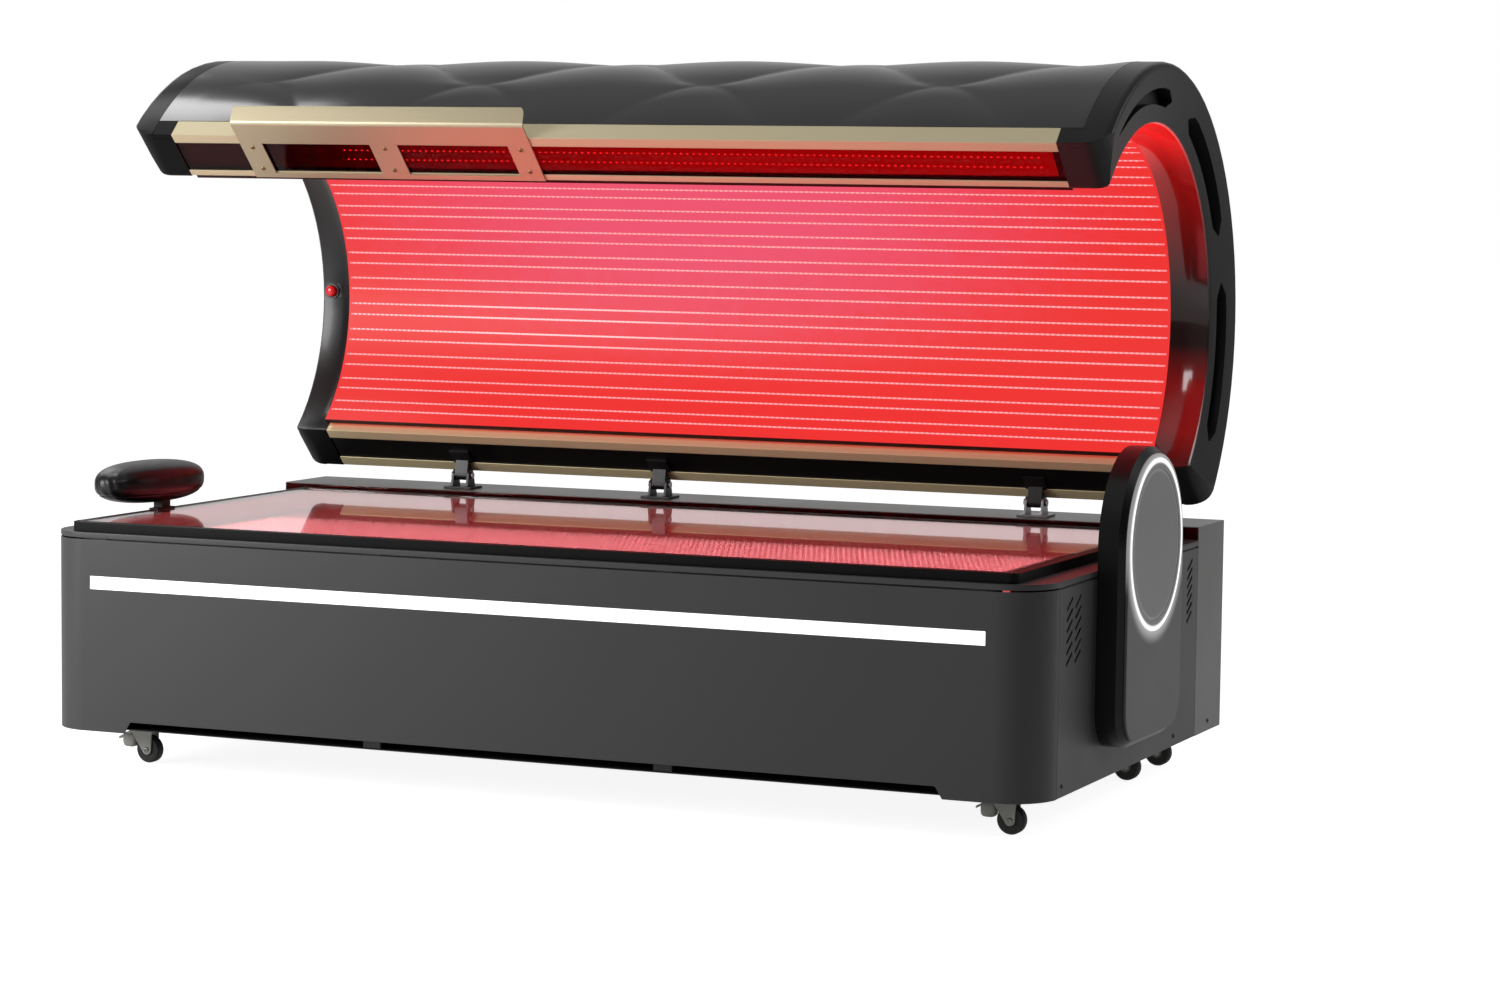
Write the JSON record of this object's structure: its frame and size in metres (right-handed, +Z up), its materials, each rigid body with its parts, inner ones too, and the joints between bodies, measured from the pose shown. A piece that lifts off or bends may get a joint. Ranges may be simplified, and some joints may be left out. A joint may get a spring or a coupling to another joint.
{
  "type": "light therapy bed",
  "caption": "Lie-in light therapy bed: a panelled base on casters with a lit bed panel, a headrest, an end pod and a hinged half-round canopy with a lit inner face.",
  "frame": {"origin": "centre of the whole footprint, on the floor, with the canopy open", "axes": "+X along the bed towards the end pod, +Y towards the hinge side at the back, +Z up"},
  "size_m": [2.4076, 1.317, 1.5621],
  "materials": {
    "grey_paint": "satin dark grey powder coat",
    "black_plastic": "semi-gloss black",
    "shell_lacquer": "glossy charcoal lacquer over a faceted wave relief",
    "champagne": "brushed champagne anodising",
    "steel": "brushed",
    "frame_paint": "matt black paint",
    "black_leather": "smooth black leatherette",
    "white_light": "opal diffuser, lit white",
    "red_light": "lit red panel",
    "clear_acrylic": "clear polished",
    "smoked_acrylic": "smoked polished",
    "caster_tyre": "matt black tread",
    "caster_grey": "satin light grey",
    "red_button": "glossy red"
  },
  "bodies": {
    "base": {"front_panel": "grey_paint", "side_panel_left": "grey_paint", "side_panel_right": "grey_paint", "rear_housing": "grey_paint", "deck_plate": "grey_paint", "pod_face": "grey_paint", "bed_frame": "black_plastic", "pod_body": "black_plastic", "mains_inlet": "black_plastic", "fan_frame_left": "black_plastic", "fan_frame_right": "black_plastic", "hinge_bracket_centre": "black_plastic", "headrest_post": "black_plastic", "power_supply": "steel", "hinge_bracket_left": "steel", "hinge_bracket_right": "steel", "hinge_pin_left": "steel", "hinge_pin_centre": "steel", "hinge_pin_right": "steel", "base_frame": "frame_paint", "bottom_pan": "frame_paint", "control_box": "frame_paint", "headrest_cushion": "black_leather", "front_light": "white_light", "pod_ring": "white_light", "bed_light_panel": "red_light", "bed_panel": "clear_acrylic"},
    "canopy": {"canopy_shell": "shell_lacquer", "canopy_light_panel": "red_light", "canopy_frame": "frame_paint", "end_cap_left": "black_plastic", "end_cap_right": "black_plastic", "trim_front_outer": "champagne", "trim_front_inner": "champagne", "front_window": "smoked_acrylic", "front_light_bar": "red_light", "trim_rear_inner": "champagne", "rear_channel": "black_plastic", "trim_rear_outer": "champagne", "handle": "champagne", "button_bezel": "steel", "hinge_leaf_left": "steel", "hinge_leaf_centre": "black_plastic", "hinge_leaf_right": "steel"},
    "push_button": {"push_button": "red_button"},
    "fan_rotor_left": {"fan_rotor_left": "black_plastic"},
    "fan_rotor_right": {"fan_rotor_right": "black_plastic"},
    "caster_fork_left_front": {"caster_fork_left_front": "caster_grey"},
    "caster_wheel_left_front": {"caster_wheel_left_front": "caster_tyre"},
    "caster_fork_left_mid": {"caster_fork_left_mid": "caster_grey"},
    "caster_wheel_left_mid": {"caster_wheel_left_mid": "caster_tyre"},
    "caster_fork_left_rear": {"caster_fork_left_rear": "caster_grey"},
    "caster_wheel_left_rear": {"caster_wheel_left_rear": "caster_tyre"},
    "caster_fork_right_front": {"caster_fork_right_front": "caster_grey"},
    "caster_wheel_right_front": {"caster_wheel_right_front": "caster_tyre"},
    "caster_fork_right_mid": {"caster_fork_right_mid": "caster_grey"},
    "caster_wheel_right_mid": {"caster_wheel_right_mid": "caster_tyre"},
    "caster_fork_right_rear": {"caster_fork_right_rear": "caster_grey"},
    "caster_wheel_right_rear": {"caster_wheel_right_rear": "caster_tyre"}
  },
  "joints": [
    {"name": "canopy_hinge", "type": "hinge", "parent": "base", "child": "canopy", "pos_m": [-0.0088, 0.45646, 0.585], "axis": [1, 0, 0], "range_deg": [0, 45]},
    {"name": "button_press", "type": "slide", "parent": "canopy", "child": "push_button", "axis": [0, 0.9994, 0.0349], "range_m": [0, 0.004], "stiffness_N_per_m": 400},
    {"name": "fan_spin_left", "type": "hinge", "parent": "base", "child": "fan_rotor_left", "pos_m": [-1.1428, -0.46754, 0.402], "axis": [1, 0, 0], "continuous": true},
    {"name": "fan_spin_right", "type": "hinge", "parent": "base", "child": "fan_rotor_right", "pos_m": [1.1252, -0.46754, 0.402], "axis": [1, 0, 0], "continuous": true},
    {"name": "swivel_left_front", "type": "hinge", "parent": "base", "child": "caster_fork_left_front", "pos_m": [-1.0188, -0.48354, 0.09], "axis": [0, 0, 1], "continuous": true},
    {"name": "roll_left_front", "type": "hinge", "parent": "caster_fork_left_front", "child": "caster_wheel_left_front", "pos_m": [-0.9968, -0.48354, 0.03], "axis": [0, 1, 0], "continuous": true},
    {"name": "swivel_left_mid", "type": "hinge", "parent": "base", "child": "caster_fork_left_mid", "pos_m": [-1.0188, 0.28146, 0.09], "axis": [0, 0, 1], "continuous": true},
    {"name": "roll_left_mid", "type": "hinge", "parent": "caster_fork_left_mid", "child": "caster_wheel_left_mid", "pos_m": [-0.9968, 0.28146, 0.03], "axis": [0, 1, 0], "continuous": true},
    {"name": "swivel_left_rear", "type": "hinge", "parent": "base", "child": "caster_fork_left_rear", "pos_m": [-1.0188, 0.51146, 0.09], "axis": [0, 0, 1], "continuous": true},
    {"name": "roll_left_rear", "type": "hinge", "parent": "caster_fork_left_rear", "child": "caster_wheel_left_rear", "pos_m": [-0.9968, 0.51146, 0.03], "axis": [0, 1, 0], "continuous": true},
    {"name": "swivel_right_front", "type": "hinge", "parent": "base", "child": "caster_fork_right_front", "pos_m": [1.0012, -0.48354, 0.09], "axis": [0, 0, 1], "continuous": true},
    {"name": "roll_right_front", "type": "hinge", "parent": "caster_fork_right_front", "child": "caster_wheel_right_front", "pos_m": [1.0232, -0.48354, 0.03], "axis": [0, 1, 0], "continuous": true},
    {"name": "swivel_right_mid", "type": "hinge", "parent": "base", "child": "caster_fork_right_mid", "pos_m": [1.0012, 0.28146, 0.09], "axis": [0, 0, 1], "continuous": true},
    {"name": "roll_right_mid", "type": "hinge", "parent": "caster_fork_right_mid", "child": "caster_wheel_right_mid", "pos_m": [1.0232, 0.28146, 0.03], "axis": [0, 1, 0], "continuous": true},
    {"name": "swivel_right_rear", "type": "hinge", "parent": "base", "child": "caster_fork_right_rear", "pos_m": [1.0012, 0.51146, 0.09], "axis": [0, 0, 1], "continuous": true},
    {"name": "roll_right_rear", "type": "hinge", "parent": "caster_fork_right_rear", "child": "caster_wheel_right_rear", "pos_m": [1.0232, 0.51146, 0.03], "axis": [0, 1, 0], "continuous": true}
  ]
}
